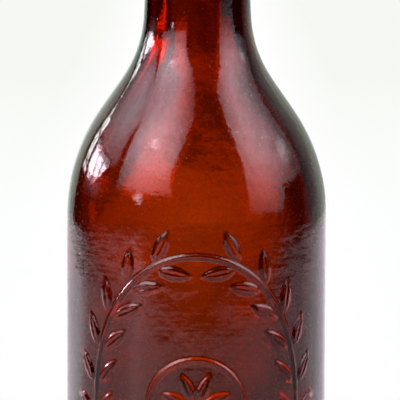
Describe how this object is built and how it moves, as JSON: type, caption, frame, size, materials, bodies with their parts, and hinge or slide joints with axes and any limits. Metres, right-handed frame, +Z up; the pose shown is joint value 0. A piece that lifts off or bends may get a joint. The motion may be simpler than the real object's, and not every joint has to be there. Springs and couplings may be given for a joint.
{
  "type": "blob top bottle with wire closure",
  "caption": "Round-shouldered blown glass bottle with a thick rounded applied lip, closed by a porcelain stopper on a cranked wire lever and bail.",
  "frame": {"origin": "centre of the base, on the surface that the bottle stands on", "axes": "+Z up along the bottle's axis; -Y towards the decorated front; X along the closure's pivots, with its lever round the back of the neck"},
  "size_m": [0.0636, 0.064, 0.204],
  "materials": {
    "bottle_glass": "glossy transparent dark amber-red glass",
    "tie_wire": "dull tinned iron wire",
    "closure_wire": "dull drawn steel wire",
    "stopper_porcelain": "glazed off-white porcelain",
    "washer_rubber": "matte red rubber"
  },
  "bodies": {
    "bottle": {"bottle_body": "bottle_glass", "blob_lip": "bottle_glass", "neck_wire": "tie_wire"},
    "lever": {"lever": "closure_wire"},
    "bail": {"bail": "closure_wire"},
    "stopper": {"stopper": "stopper_porcelain", "rubber_washer": "washer_rubber"}
  },
  "joints": [
    {"name": "lever_swing", "type": "hinge", "parent": "bottle", "child": "lever", "pos_m": [0, 0, 0.1669], "axis": [1, 0, 0], "range_deg": [0, 110]},
    {"name": "bail_pivot", "type": "hinge", "parent": "lever", "child": "bail", "pos_m": [0, -0.00146, 0.16006], "axis": [1, 0, 0], "range_deg": [-94, 0]},
    {"name": "stopper_pivot", "type": "hinge", "parent": "bail", "child": "stopper", "pos_m": [0, 0, 0.1988], "axis": [1, 0, 0], "range_deg": [-17, 0]}
  ],
  "couplings": [
    {"joint": "bail_pivot", "follows": "lever_swing", "ratio": -0.85},
    {"joint": "stopper_pivot", "follows": "lever_swing", "ratio": -0.15}
  ]
}
